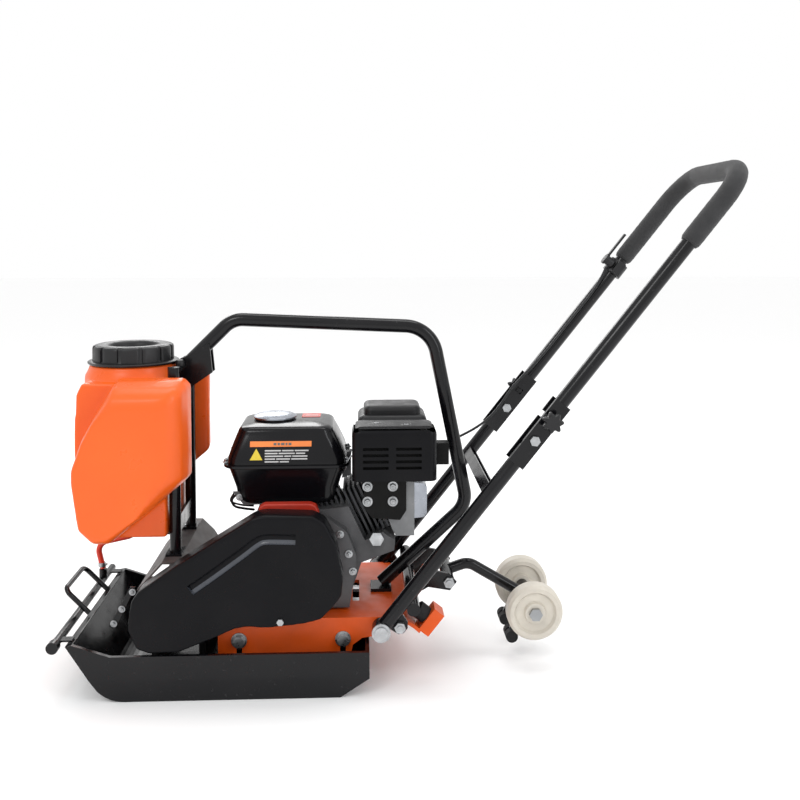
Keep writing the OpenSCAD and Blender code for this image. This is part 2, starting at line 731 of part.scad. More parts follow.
module throttle_lever() color("#1c1c1e") handle_frame() {
    translate([clamp_x, handle_half - 16, 28 + gap]) cylinder(h = 5, r = 11);
    translate([clamp_x, handle_half - 16, 12]) cylinder(h = 20, r = 3);
    translate([clamp_x, handle_half - 20, 28 + gap]) cube([62, 8, 4]);
}

module star_knob(side) color("#171718") handle_frame() translate([knob_x, side * handle_half, 0])
    rotate([side * 90, 0, 0]) {
        difference() {
            union() {
                translate([0, 0, 16.5]) cylinder(h = 10, r = 9);
                translate([0, 0, 26]) cylinder(h = 14, r = 19);
            }
            for (i = [0 : 6]) rotate([0, 0, i * 360 / 7]) translate([20, 0, 25]) cylinder(h = 16, r = 4.5);
            cylinder(h = stud_end + 1, r = stud_r + fine);
        }
    }

module knob_left() star_knob(-1);
module knob_right() star_knob(1);

// ---- throttle cable: corners by hand, then a smooth curve through them ----
cable_r = 2.5;
cable_path = [[258, 112, 345], [275, 116, 352], [300, 121, 355], [330, 126, 354], [360, 130, 353],
    [390, 132, 360], [418, 131, 374], [446, 130, 389], [470, 129, 406], [489, 128, 425], [504, 128, 445],
    [525, 129, 475], [554, 131, 505], [588, 131, 542], [619, 131, 581], [650, 131, 621], [681, 132, 660],
    [699, 133, 689], [710, 134, 711]];
cable_steps = 3;
cable_sides = 8;
function smooth(a, b, c, d, t) = 0.5 * (2 * b + (c - a) * t + (2 * a - 5 * b + 4 * c - d) * t * t
    + (3 * b - a - 3 * c + d) * t * t * t);
function pick(p, i) = p[min(max(i, 0), len(p) - 1)];
function curve(p, n) = concat([for (i = [0 : len(p) - 2], k = [0 : n - 1])
    smooth(pick(p, i - 1), p[i], p[i + 1], pick(p, i + 2), k / n)], [p[len(p) - 1]]);
function ring(at, dir, r, n) = let(u = unit(cross(dir, [0, 1, 0])), v = cross(unit(dir), u))
    [for (k = [0 : n - 1]) at + r * (cos(360 * k / n) * u + sin(360 * k / n) * v)];

// A tube swept along the points c, with n sides.
module swept(c, r, n) {
    last = len(c) - 1;
    points = [for (i = [0 : last]) each ring(c[i], pick(c, i + 1) - pick(c, i - 1), r, n)];
    walls = [for (i = [0 : last - 1], k = [0 : n - 1])
        [i * n + k, i * n + (k + 1) % n, (i + 1) * n + (k + 1) % n, (i + 1) * n + k]];
    ends = [[for (k = [n - 1 : -1 : 0]) k], [for (k = [0 : n - 1]) last * n + k]];
    polyhedron(points, concat(walls, ends));
}

module throttle_cable() color("#101011") swept(curve(cable_path, cable_steps), cable_r, cable_sides);

// ---- transport wheels ----
module wheel_arm() color("#161618") difference() {
    union() {
        upright(0) bent_tube([wheel_pivot, [420, 166], axle], [0, 30, 0], 10, 0);
        rod_y(wheel_pivot, -56, 56, 11);
        rod_y(axle, -53, 53, 12);
        both_sides() side_slab(36, 42) polygon([[518, 104], [530, 112], [540, 100], [503, 38], [486, 46]]);
    }
    rod_y(wheel_pivot, -60, 60, 6 + fine);
    rod_y(axle, -60, 60, 8 + fine);
    both_sides() rod_y([494, 46], 30, 50, 4 + fine);
}

module wheel_axle() color("#9a9ea2") {
    rod_y(axle, -92, 92, 8);
    both_sides() hex_y(axle, 86 + gap, 92, 12);
}

module wheel_buffers() color("#1d1d1f") both_sides() {
    for (y = [22, 42 + fine]) rod_y([494, 46], y, y + 14 - fine, 11);
    rod_y([494, 46], 24, 54, 4);
}

wheel_r = wheel_d / 2;
wheel_e = wheel_w / 2;
module wheel(side) color("#e9e6df") translate([axle[0], side * wheel_y, axle[1]]) rotate([90, 0, 0])
    rotate_extrude() polygon([[8 + fine, -wheel_e], [18, -wheel_e], [20, -9], [34, -9], [38, -wheel_e],
        [wheel_r - 5, -wheel_e], [wheel_r, -10], [wheel_r, 10], [wheel_r - 5, wheel_e], [38, wheel_e],
        [34, 9], [20, 9], [18, wheel_e], [8 + fine, wheel_e]]);

module wheel_left() wheel(-1);
module wheel_right() wheel(1);

// ---- bolts of the fixed parts ----
module machine_bolts() color("#b4b8bc") {
    both_sides() for (a = [45 : 90 : 315])
        hex_y(exciter + 41 * [cos(a), sin(a)], 108 + fine, 113, 7);
    hex_y([86, 133], -182, -178 - fine, 6);
    for (x = [26, 211], y = [-40, 20]) translate([x, y, deck_z - 12]) cylinder(h = 5.9, r = 11, $fn = 6);
    both_sides() translate([post_x - 9, post_y - 15, hood_top + 4.2]) cylinder(h = 4, r = 3.5, $fn = 6);
    hex_y([248, 239], -85, -79 - fine, 13);
}

base_plate();
exciter_housing();
exciter_covers();
exciter_bearings();
machine_bolts();
belt_guard_cover();
belt_guard_back();
drive_belt();
engine_bed();
rubber_mounts();
mount_bolts();
front_hood();
crankcase();
side_cover();
cylinder_block();
cylinder_head();
rocker_cover();
spark_plug();
fuel_tank();
muffler();
muffler_guard();
air_cleaner_base();
air_cleaner_lid();
carburettor();
fan_housing();
recoil_cover();
hoop();
front_posts();
water_tank();
water_valve();
water_hose();
spray_bar();
carry_handle();
throttle_cable();
exciter_shaft();
driven_pulley();
crankshaft();
clutch_drum();
flywheel();
tank_cap();
fuel_cap();
valve_lever();
recoil_grip();
engine_switch();
throttle_arm();
choke_lever();
fuel_tap();
lower_handle();
handle_bolts();
upper_handle();
foam_grip();
throttle_clamp();
throttle_lever();
knob_left();
knob_right();
wheel_arm();
wheel_axle();
wheel_buffers();
wheel_left();
wheel_right();
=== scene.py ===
"""Looks of a forward plate compactor: camera, light, materials and the shaped pieces over its CAD frame."""
import json
import math
import bmesh
import bpy
from mathutils import Matrix, Vector

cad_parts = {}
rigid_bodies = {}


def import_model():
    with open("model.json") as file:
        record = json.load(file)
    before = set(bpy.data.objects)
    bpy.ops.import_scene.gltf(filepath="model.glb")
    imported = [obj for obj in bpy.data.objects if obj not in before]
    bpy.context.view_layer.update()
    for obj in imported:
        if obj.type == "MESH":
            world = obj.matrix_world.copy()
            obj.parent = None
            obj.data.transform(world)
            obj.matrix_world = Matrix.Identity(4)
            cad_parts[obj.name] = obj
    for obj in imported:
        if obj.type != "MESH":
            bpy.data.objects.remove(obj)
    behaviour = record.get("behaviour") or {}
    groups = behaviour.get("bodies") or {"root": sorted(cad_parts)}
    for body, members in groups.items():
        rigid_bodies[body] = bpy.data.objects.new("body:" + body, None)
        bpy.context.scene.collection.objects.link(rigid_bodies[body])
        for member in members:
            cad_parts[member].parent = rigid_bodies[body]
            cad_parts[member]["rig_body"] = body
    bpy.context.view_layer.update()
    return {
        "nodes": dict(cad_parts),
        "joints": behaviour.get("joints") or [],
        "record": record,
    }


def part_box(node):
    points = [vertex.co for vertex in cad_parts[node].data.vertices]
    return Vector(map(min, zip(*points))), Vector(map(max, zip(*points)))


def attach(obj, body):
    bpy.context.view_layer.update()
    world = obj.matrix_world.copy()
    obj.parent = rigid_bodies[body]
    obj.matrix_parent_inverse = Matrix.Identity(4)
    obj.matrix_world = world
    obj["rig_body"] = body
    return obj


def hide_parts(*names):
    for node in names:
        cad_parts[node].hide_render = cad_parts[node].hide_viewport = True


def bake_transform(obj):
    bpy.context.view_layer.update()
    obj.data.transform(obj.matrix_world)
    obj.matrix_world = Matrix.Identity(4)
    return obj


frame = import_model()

MM = 0.001
NODES = frame["nodes"]
JOINTS = {joint["name"]: joint for joint in frame["joints"]}


# ---------------------------------------------------------------- places from the frame
def corners(node):
    """Lowest and highest corner of a CAD node, in mm."""
    low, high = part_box(node)
    return low / MM, high / MM


def hinge(name):
    """Place of a joint, in mm."""
    return Vector(JOINTS[name]["pos_m"]) / MM


PIVOT = hinge("handle_rock")
FOLD = hinge("handle_fold")
ALONG = (FOLD - PIVOT).normalized()
CRANK = hinge("crank_spin")


def on_handle(along, side):
    """Place in mm from the pivot: along the tubes and across the machine."""
    return PIVOT + ALONG * along + Vector((0, side, 0))


# ---------------------------------------------------------------- camera, floor and light
def camera():
    lens = bpy.data.cameras.new("camera")
    lens.sensor_width = 36
    lens.lens = 41.87
    lens.shift_y = -0.146
    lens.clip_end = 60
    eye = bpy.data.objects.new("camera", lens)
    bpy.context.scene.collection.objects.link(eye)
    eye.location = (0.2186, -1.6992, 0.7758)
    eye.rotation_euler = (math.radians(90 - 3), 0, math.radians(-2.5))
    bpy.context.scene.camera = eye


def area_light(name, place, target, size, power, tint=(1, 1, 1)):
    lamp = bpy.data.lights.new(name, "AREA")
    lamp.shape = "RECTANGLE"
    lamp.size, lamp.size_y = size
    lamp.energy = power
    lamp.color = tint
    holder = bpy.data.objects.new(name, lamp)
    bpy.context.scene.collection.objects.link(holder)
    holder.location = place
    holder.rotation_euler = (Vector(target) - Vector(place)).to_track_quat("-Z", "Y").to_euler()


def studio():
    world = bpy.data.worlds.new("studio")
    bpy.context.scene.world = world
    world.use_nodes = True
    sky = world.node_tree.nodes["Background"]
    sky.inputs["Color"].default_value = (1.0, 1.0, 1.0, 1)
    sky.inputs["Strength"].default_value = 1.0
    bpy.context.scene.view_settings.view_transform = "Standard"
    area_light("key", (-1.2, -2.4, 2.6), (0.1, 0, 0.3), (1.2, 0.9), 22)
    area_light("fill", (2.4, -1.8, 1.6), (0.3, 0, 0.4), (0.4, 2.2), 18, (0.93, 0.96, 1))
    area_light("top", (0.3, 0.3, 2.8), (0.3, 0, 0.3), (2.0, 0.7), 18)
    area_light("back", (-0.6, 2.4, 1.8), (0.2, 0, 0.4), (1.6, 0.8), 20)
    bpy.ops.mesh.primitive_plane_add(size=30, location=(0, 0, 0))
    floor = bpy.context.object
    floor.name = "studio_floor"
    floor.data.materials.append(flat_floor())


def flat_floor():
    pale = bpy.data.materials.new("pale_floor")
    pale.use_nodes = True
    shader = pale.node_tree.nodes["Principled BSDF"]
    shader.inputs["Base Color"].default_value = (0.98, 0.98, 0.98, 1)
    shader.inputs["Roughness"].default_value = 0.85
    return pale


# ---------------------------------------------------------------- materials
DUST = (0.42, 0.38, 0.33)
BARE = (0.5, 0.5, 0.5)


def surface(name, color, rough, metal=0.0, vary=0.12, patch=18.0, grain=900.0, bump=0.04,
            spread=0.12, dust=0.0, stretch=(1, 1, 1), sheen=0.0, scratch=0.0, gloss=0.5):
    """A finish with uneven colour and gloss, a fine grain, dust in patches and fine scratches."""
    made = bpy.data.materials.new(name)
    made.use_nodes = True
    nodes, links = made.node_tree.nodes, made.node_tree.links
    shader = nodes["Principled BSDF"]
    shader.inputs["Metallic"].default_value = metal
    shader.inputs["Sheen Weight"].default_value = sheen
    shader.inputs["Specular IOR Level"].default_value = gloss
    place = nodes.new("ShaderNodeTexCoord")
    scale = nodes.new("ShaderNodeMapping")
    scale.inputs["Scale"].default_value = stretch
    links.new(place.outputs["Object"], scale.inputs["Vector"])

    def noise(size, detail):
        node = nodes.new("ShaderNodeTexNoise")
        node.inputs["Scale"].default_value = size
        node.inputs["Detail"].default_value = detail
        links.new(scale.outputs["Vector"], node.inputs["Vector"])
        return node.outputs["Fac"]

    def ramp(value, low, high, start, end):
        node = nodes.new("ShaderNodeMapRange")
        node.inputs["From Min"].default_value = low
        node.inputs["From Max"].default_value = high
        node.inputs["To Min"].default_value = start
        node.inputs["To Max"].default_value = end
        links.new(value, node.inputs["Value"])
        return node.outputs["Result"]

    def mix(amount, first, second):
        node = nodes.new("ShaderNodeMix")
        node.data_type = "RGBA"
        links.new(amount, node.inputs["Factor"])
        for socket, value in ((6, first), (7, second)):
            if isinstance(value, tuple):
                node.inputs[socket].default_value = (*value, 1)
            else:
                links.new(value, node.inputs[socket])
        return node.outputs[2]

    dark = tuple(c * (1 - vary) for c in color)
    light = tuple(min(1, c * (1 + vary)) for c in color)
    shade = mix(ramp(noise(patch, 4), 0.3, 0.7, 0, 1), dark, light)
    if dust:
        shade = mix(ramp(noise(patch * 0.6, 8), 0.45, 0.75, 0, dust), shade, DUST)
    if scratch:
        shade = mix(ramp(noise(patch * 9, 12), 0.66, 0.7, 0, scratch), shade, BARE)
    links.new(shade, shader.inputs["Base Color"])
    uneven = ramp(noise(patch * 2.3, 6), 0.3, 0.7, rough - spread / 2, rough + spread)
    links.new(uneven, shader.inputs["Roughness"])
    relief = nodes.new("ShaderNodeBump")
    relief.inputs["Strength"].default_value = bump
    relief.inputs["Distance"].default_value = MM
    links.new(noise(grain, 3), relief.inputs["Height"])
    links.new(relief.outputs["Normal"], shader.inputs["Normal"])
    return made


FINISH = {
    "black_paint": dict(color=(0.003, 0.003, 0.004), rough=0.17, bump=0.04, grain=420, dust=0.005,
                        scratch=0.03, gloss=0.3),
    "satin_black": dict(color=(0.003, 0.003, 0.004), rough=0.3, bump=0.1, grain=700, dust=0.004, gloss=0.13),
    "orange_paint": dict(color=(0.62, 0.075, 0.004), rough=0.38, bump=0.05, grain=500, dust=0.04, gloss=0.3),
    "red_paint": dict(color=(0.36, 0.018, 0.005), rough=0.34, vary=0.25, dust=0.05, gloss=0.4),
    "grey_paint": dict(color=(0.07, 0.062, 0.06), rough=0.45, vary=0.2, bump=0.1, dust=0.05, scratch=0.1,
                       gloss=0.3),
    "cast_black": dict(color=(0.012, 0.012, 0.013), rough=0.6, bump=0.5, grain=500, dust=0.04, gloss=0.25),
    "cast_alu": dict(color=(0.085, 0.085, 0.088), rough=0.46, metal=0.4, vary=0.3, bump=0.5, grain=650,
                     dust=0.06, gloss=0.3),
    "light_alu": dict(color=(0.2, 0.205, 0.21), rough=0.4, metal=0.4, vary=0.3, bump=0.4, grain=650,
                      dust=0.04, gloss=0.35),
    "dark_alu": dict(color=(0.04, 0.041, 0.044), rough=0.42, metal=0.5, vary=0.3, bump=0.4, grain=600,
                     dust=0.04, gloss=0.3),
    "steel": dict(color=(0.34, 0.35, 0.36), rough=0.3, metal=1.0, stretch=(1, 12, 1), vary=0.15),
    "zinc": dict(color=(0.40, 0.41, 0.42), rough=0.3, metal=0.95, vary=0.25, patch=60),
    "silver": dict(color=(0.36, 0.38, 0.42), rough=0.27, metal=1.0, vary=0.08, patch=30),
    "belt_rubber": dict(color=(0.012, 0.012, 0.012), rough=0.75, bump=0.3, gloss=0.2),
    "rubber": dict(color=(0.012, 0.012, 0.013), rough=0.62, bump=0.2, dust=0.05, gloss=0.2),
    "orange_plastic": dict(color=(0.80, 0.115, 0.012), rough=0.3, vary=0.05, patch=9, grain=380, bump=0.1,
                           spread=0.1, gloss=0.35),
    "black_plastic": dict(color=(0.010, 0.010, 0.011), rough=0.36, bump=0.16, grain=1100, gloss=0.35),
    "tank_black": dict(color=(0.003, 0.003, 0.004), rough=0.16, bump=0.0, spread=0.05, gloss=0.25),
    "red_plastic": dict(color=(0.42, 0.016, 0.01), rough=0.35, bump=0.1),
    "hose_red": dict(color=(0.62, 0.03, 0.008), rough=0.36, bump=0.1),
    "foam": dict(color=(0.03, 0.03, 0.031), rough=0.8, bump=0.7, grain=1500, sheen=0.15, gloss=0.3),
    "nylon": dict(color=(0.56, 0.52, 0.45), rough=0.42, vary=0.1, patch=30, bump=0.12, dust=0.2),
    "ceramic": dict(color=(0.66, 0.65, 0.61), rough=0.2, bump=0.02),
    "exhaust": dict(color=(0.006, 0.006, 0.006), rough=0.45, bump=0.3, vary=0.3, dust=0.01, gloss=0.12),
    "label_orange": dict(color=(0.75, 0.20, 0.04), rough=0.4, bump=0.02),
    "label_yellow": dict(color=(0.60, 0.46, 0.03), rough=0.4, bump=0.02),
    "label_white": dict(color=(0.45, 0.45, 0.45), rough=0.45, bump=0.02),
    "label_red": dict(color=(0.50, 0.03, 0.02), rough=0.35, bump=0.02),
    # lighter bluish black for the groove's upward faces: a painted reflection of the sky
    "groove_painted_reflection": dict(color=(0.035, 0.04, 0.052), rough=0.26, bump=0.05, gloss=0.7),
    "label_grey": dict(color=(0.10, 0.10, 0.10), rough=0.45, bump=0.02),
}
MATERIALS = {name: surface(name, **look) for name, look in FINISH.items()}
SLOTS = {entry["node"]: entry["material_slot"] for entry in frame["record"]["subparts"]}


# ---------------------------------------------------------------- building pieces
def piece(name, mesh, finish, body="machine", smooth=35, soften=0.0, segments=2):
    """Turns a mesh in mm into a finished piece that rides a body."""
    mesh.transform(Matrix.Scale(MM, 4))
    made = bpy.data.objects.new(name, mesh)
    bpy.context.scene.collection.objects.link(made)
    mesh.materials.append(MATERIALS[finish])
    mesh.shade_smooth()
    mesh.set_sharp_from_angle(angle=math.radians(smooth))
    if soften:
        edge = made.modifiers.new("soft_edges", "BEVEL")
        edge.width = soften * MM
        edge.segments = segments
        edge.limit_method = "ANGLE"
        edge.angle_limit = math.radians(30)
        edge.harden_normals = True
    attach(made, body)
    return made


def mesh_of(builder, *args, **kwargs):
    form = bmesh.new()
    builder(form, *args, **kwargs)
    bmesh.ops.recalc_face_normals(form, faces=form.faces)
    mesh = bpy.data.meshes.new("form")
    form.to_mesh(mesh)
    form.free()
    return mesh


def loft(form, rings, loop=False):
    """Skins rings of the same number of points, closed by its two ends or, as a loop, into itself."""
    rows = [[form.verts.new(point) for point in ring] for ring in rings]
    count = len(rows[0])
    pairs = list(zip(rows, rows[1:])) + ([(rows[-1], rows[0])] if loop else [])
    for low, high in pairs:
        for i in range(count):
            j = (i + 1) % count
            form.faces.new((low[i], low[j], high[j], high[i]))
    if not loop:
        form.faces.new(list(reversed(rows[0])))
        form.faces.new(rows[-1])


def rounded_rect(x0, x1, y0, y1, radius, steps=6):
    """Points of a rectangle with round corners, in a plane."""
    radius = max(0.1, min(radius, (x1 - x0) / 2 - 0.01, (y1 - y0) / 2 - 0.01))
    points = []
    for cx, cy, start in ((x1 - radius, y1 - radius, 0), (x0 + radius, y1 - radius, 90),
                          (x0 + radius, y0 + radius, 180), (x1 - radius, y0 + radius, 270)):
        for i in range(steps + 1):
            turn = math.radians(start + 90 * i / steps)
            points.append((cx + radius * math.cos(turn), cy + radius * math.sin(turn)))
    return points


def stacked(levels):
    """Rings for a loft, from (z, x0, x1, y0, y1, corner radius)."""
    return [[(x, y, z) for x, y in rounded_rect(x0, x1, y0, y1, radius)]
            for z, x0, x1, y0, y1, radius in levels]


def dome(z0, z1, box, radius, edge, steps=5):
    """Levels of a box from z0 to z1 whose top edge is rounded by "edge"."""
    x0, x1, y0, y1 = box
    levels = [(z0, x0, x1, y0, y1, radius)]
    for i in range(steps + 1):
        turn = math.radians(90 * i / steps)
        inset = edge * (1 - math.cos(turn))
        levels.append((z1 - edge + edge * math.sin(turn), x0 + inset, x1 - inset, y0 + inset, y1 - inset,
                       max(1, radius - inset)))
    return levels


def turned(form, profile, at, steps=64):
    """A closed ring profile of (radius, height), turned round an upright axis through "at"."""
    rings = []
    for i in range(steps):
        turn = 2 * math.pi * i / steps
        ring = []
        for radius, height in profile:
            ring.append(Vector(at) + Vector((radius * math.cos(turn), radius * math.sin(turn), height)))
        rings.append(ring)
    loft(form, rings, loop=True)


def slab(form, outline, y0, y1):
    """A plate from a side outline of (x, z)."""
    loft(form, [[(x, y0, z) for x, z in outline], [(x, y1, z) for x, z in outline]])


def smooth_path(points, steps=6):
    """A Catmull-Rom curve through the points."""
    spots = [Vector(p) for p in points]
    out = []
    for i in range(len(spots) - 1):
        a, b = spots[max(i - 1, 0)], spots[i]
        c, d = spots[i + 1], spots[min(i + 2, len(spots) - 1)]
        for k in range(steps):
            t = k / steps
            out.append(0.5 * (2 * b + (c - a) * t + (2 * a - 5 * b + 4 * c - d) * t * t
                              + (3 * b - a - 3 * c + d) * t ** 3))
    return out + [spots[-1]]


def tube(form, path, radius, sides=12):
    """A round tube along a path; radius is a number or a function of the share of the path."""
    spots = [Vector(p) for p in path]
    normal = None
    rings = []
    for i, spot in enumerate(spots):
        ahead = (spots[min(i + 1, len(spots) - 1)] - spots[max(i - 1, 0)]).normalized()
        if normal is None:
            normal = ahead.orthogonal().normalized()
        normal = (normal - ahead * normal.dot(ahead)).normalized()
        other = ahead.cross(normal)
        size = radius(i / (len(spots) - 1)) if callable(radius) else radius
        rings.append([spot + size * (normal * math.cos(2 * math.pi * k / sides)
                                     + other * math.sin(2 * math.pi * k / sides)) for k in range(sides)])
    loft(form, rings)


def bent(points, bends, steps=10):
    """A path through corner points with round bends."""
    spots = [Vector(p) for p in points]
    out = [spots[0]]
    for i in range(1, len(spots) - 1):
        back, ahead = (spots[i - 1] - spots[i]).normalized(), (spots[i + 1] - spots[i]).normalized()
        angle = back.angle(ahead)
        reach = bends[i - 1] / math.tan(angle / 2)
        centre = spots[i] + (back + ahead).normalized() * bends[i - 1] / math.sin(angle / 2)
        first, last = spots[i] + back * reach - centre, spots[i] + ahead * reach - centre
        sweep = first.angle(last)
        for k in range(steps + 1):
            t = k / steps
            turned_by = first * math.sin((1 - t) * sweep) + last * math.sin(t * sweep)
            out.append(centre + turned_by / math.sin(sweep))
    return out + [spots[-1]]


def moulded(name, mesh, finish, voxel, rounds, body="machine"):
    """One blown or moulded skin: the forms in the mesh are fused and their edges rounded."""
    made = piece(name, mesh, finish, body, smooth=180)
    fuse = made.modifiers.new("fuse", "REMESH")
    fuse.mode = "VOXEL"
    fuse.voxel_size = voxel * MM
    relax = made.modifiers.new("relax", "SMOOTH")
    relax.factor = 0.5
    relax.iterations = rounds
    graph = bpy.context.evaluated_depsgraph_get()
    shape = bpy.data.meshes.new_from_object(made.evaluated_get(graph))
    made.modifiers.clear()
    made.data = shape
    shape.shade_smooth()
    return made


def boolean(made, cutter_mesh):
    """Cuts a form in mm out of a piece, and applies it."""
    cutter_mesh.transform(Matrix.Scale(MM, 4))
    cutter = bpy.data.objects.new("cutter", cutter_mesh)
    bpy.context.scene.collection.objects.link(cutter)
    cut = made.modifiers.new("cut", "BOOLEAN")
    cut.operation = "DIFFERENCE"
    cut.object = cutter
    cut.solver = "EXACT"
    while made.modifiers[0] != cut:
        bpy.context.view_layer.objects.active = made
        made.modifiers.move(list(made.modifiers).index(cut), 0)
    graph = bpy.context.evaluated_depsgraph_get()
    others = [m for m in made.modifiers if m != cut]
    for other in others:
        other.show_viewport = False
    graph.update()
    shape = bpy.data.meshes.new_from_object(made.evaluated_get(graph))
    for other in others:
        other.show_viewport = True
    made.modifiers.remove(cut)
    made.data = shape
    bpy.data.objects.remove(cutter)


# ---------------------------------------------------------------- CAD nodes that keep their shape
SOFT_EDGES = {"base_plate": 1.4, "engine_bed": 1.0, "front_hood": 0.8, "crankcase": 4.0, "side_cover": 3.0,
              "cylinder_head": 1.2, "cylinder_block": 0.8, "rocker_cover": 4.0, "muffler": 1.5,
              "carburettor": 2.0, "fan_housing": 2.5, "recoil_cover": 3.0, "front_posts": 0.7,
              "machine_bolts": 0.6, "mount_bolts": 0.6, "handle_bolts": 0.6, "exciter_housing": 3.0,
              "exciter_covers": 2.0, "water_valve": 1.0, "valve_lever": 1.0,
              "recoil_grip": 3.0, "engine_switch": 1.2, "throttle_clamp": 1.2, "throttle_lever": 0.8,
              "wheel_buffers": 1.5, "rubber_mounts": 1.5, "spark_plug": 0.8, "wheel_left": 1.5,
              "wheel_right": 1.5, "lower_handle": 0.8, "wheel_arm": 0.8, "spray_bar": 0.8,
              "wheel_axle": 0.6, "throttle_arm": 0.3, "choke_lever": 0.4, "fuel_tap": 0.4}


LOOKS = {"cylinder_head": "light_alu", "recoil_cover": "black_plastic"}


def soften_cad():
    """Each CAD node gets its finish, soft edges and smooth curves."""
    for name, node in NODES.items():
        node.data.materials.clear()
        node.data.materials.append(MATERIALS[LOOKS.get(name, SLOTS[name])])
        node.data.shade_smooth()
        node.data.set_sharp_from_angle(angle=math.radians(32))
        if name in SOFT_EDGES:
            edge = node.modifiers.new("soft_edges", "BEVEL")
            edge.width = SOFT_EDGES[name] * MM
            edge.segments = 2
            edge.limit_method = "ANGLE"
            edge.angle_limit = math.radians(35)
            edge.harden_normals = True


# ---------------------------------------------------------------- water tank
TANK_HIGH = corners("water_tank")[1]
BODY_HALF = 96
WING_CENTRE = Vector((-170, 400))
CAP_LOW, CAP_HIGH = corners("tank_cap")
CAP_AT = ((CAP_LOW.x + CAP_HIGH.x) / 2, 0)
TANK_BODY = [(-258, 520), (-116.5, 520), (-116.5, 251), (-198, 251), (-225, 255), (-256, 283),
             (-268, 340), (-273, 400), (-272, 440), (-267, 502)]
TANK_WING = [(-192, 531), (-82, 531), (-71, 519), (-71, 364), (-78, 356), (-202, 253),
             (-227, 252.6), (-250, 278), (-263, 363), (-263, 385), (-245, 435)]
WING_LAYERS = ((92, 0, 0), (120, -2, 3), (146, -7, 11), (158, -14, 18), (166, -24, 27), (169, -38, 42))


def wing_ring(side, inset):
    """The wing's side outline at a distance from the middle; its rear face and top fall away outwards."""
    y, rear, drop = inset
    points = []
    for x, z in fine_outline(TANK_WING):
        reach = min(1, max(0, (x + 150) / 75))
        high = min(1, max(0, (z - 470) / 60))
        low = min(1, max(0, (300 - z) / 48))
        shrink = max(0, y - 140) * 0.25
        spot = Vector((x, z)) + (WING_CENTRE - Vector((x, z))).normalized() * shrink
        points.append((spot.x + rear * reach, side * y, spot.y - drop * high * 0.8 + drop * low * 0.3))
    return points


def fine_outline(outline, step=9):
    """The outline with more points along its sides."""
    points = []
    for a, b in zip(outline, outline[1:] + outline[:1]):
        a, b = Vector(a), Vector(b)
        count = max(1, round((b - a).length / step))
        points += [tuple(a + (b - a) * k / count) for k in range(count)]
    return points


def tank_form(form):
    slab(form, TANK_BODY, -BODY_HALF, BODY_HALF)
    for side in (-1, 1):
        loft(form, [wing_ring(side, layer) for layer in WING_LAYERS])
    neck = [(1, 500), (85, 500), (85, 524), (80, 532), (77, 538), (77, TANK_HIGH.z), (1, TANK_HIGH.z)]
    turned(form, neck, (*CAP_AT, 0))


def water_tank():
    tank = moulded("tank_shell", mesh_of(tank_form), "orange_plastic", 3.0, 14)
    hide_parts("water_tank")
    for side in (-1, 1):
        bolt("tank_bolt_%d" % (side + 1), (-171, side * BODY_HALF, 353), 7, 5, "x", "zinc")


def lobe_form(form, z0, z1):
    """One wide grip lobe of the cap, a piece of a ring with soft edges."""
    rings = []
    for z, out in ((z0, 71.4), (z1 - 5, 71.2), (z1 - 1.6, 70.2), (z1, 67.5)):
        ring = [(60 * math.cos(math.radians(a)), 60 * math.sin(math.radians(a)), z) for a in (-11, 11)]
        for a in (12.4, 12, 10.5, 7, 3.5, 0, -3.5, -7, -10.5, -12, -12.4):
            r = out - (2.2 if abs(a) > 12.1 else 0.7 if abs(a) > 11 else 0)
            ring.append((r * math.cos(math.radians(a)), r * math.sin(math.radians(a)), z))
        rings.append(ring)
    loft(form, rings)


def tank_cap():
    x, y = CAP_AT
    z = CAP_LOW.z + 10
    top = CAP_HIGH.z
    bowl = [(1, z + 13), (36, z + 13), (40, z + 16), (42, top - 6), (44, top - 2), (48, top)]
    collar = [(64, top), (67, top - 2), (68, top - 5), (68, z + 8)]
    skirt = [(70, z + 5), (78, z + 4.4), (80, z + 3), (80, z + 1.5), (79, z), (1, z)]
    cap = mesh_of(turned, bowl + collar + skirt, (x, y, 0), 96)
    made = piece("filler_cap", cap, "black_plastic", "tank_cap_body", 40)
    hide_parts("tank_cap")
    for i in range(12):
        rib = mesh_of(lobe_form, z + 5, top - 1)
        rib.transform(Matrix.Translation((x, y, 0)) @ Matrix.Rotation(math.radians(i * 30 + 8), 4, "Z"))
        piece("cap_lobe_%02d" % i, rib, "black_plastic", "tank_cap_body", 50)
    hub = [(1, z + 13), (13, z + 13), (12, z + 19), (9, z + 20.5), (1, z + 21)]
    piece("cap_hub", mesh_of(turned, hub, (x, y, 0), 40), "black_plastic", "tank_cap_body", 40)


# ---------------------------------------------------------------- small hardware
TURN = {"x": Matrix.Rotation(math.radians(90), 4, "Y"), "-y": Matrix.Rotation(math.radians(90), 4, "X"),
        "z": Matrix.Identity(4)}


def hexagon(form, radius, height, start):
    rings = []
    for z, share in ((start, 1), (start + height * 0.8, 1), (start + height, 0.88)):
        rings.append([(radius * share * math.cos(math.radians(60 * i + 30)),
                       radius * share * math.sin(math.radians(60 * i + 30)), z) for i in range(6)])
    loft(form, rings)


def bolt_form(form, radius, height):
    washer = [(0.5, -0.5), (radius * 1.55, -0.5), (radius * 1.6, 0.4), (radius * 1.5, 1.6), (0.5, 1.7)]
    thread = [(0.4, height), (radius * 0.5, height), (radius * 0.45, height + 2.4), (0.4, height + 2.8)]
    turned(form, washer, (0, 0, 0), 32)
    hexagon(form, radius, height, 1.4)
    turned(form, thread, (0, 0, 0), 20)


def bolt(name, place, radius, height, way, finish="zinc", body="machine"):
    """A hexagon bolt with a washer and a thread end, standing out along "way"."""
    mesh = mesh_of(bolt_form, radius, height)
    mesh.transform(Matrix.Translation(place) @ TURN[way])
    return piece(name, mesh, finish, body, 30, 0.3, 1)


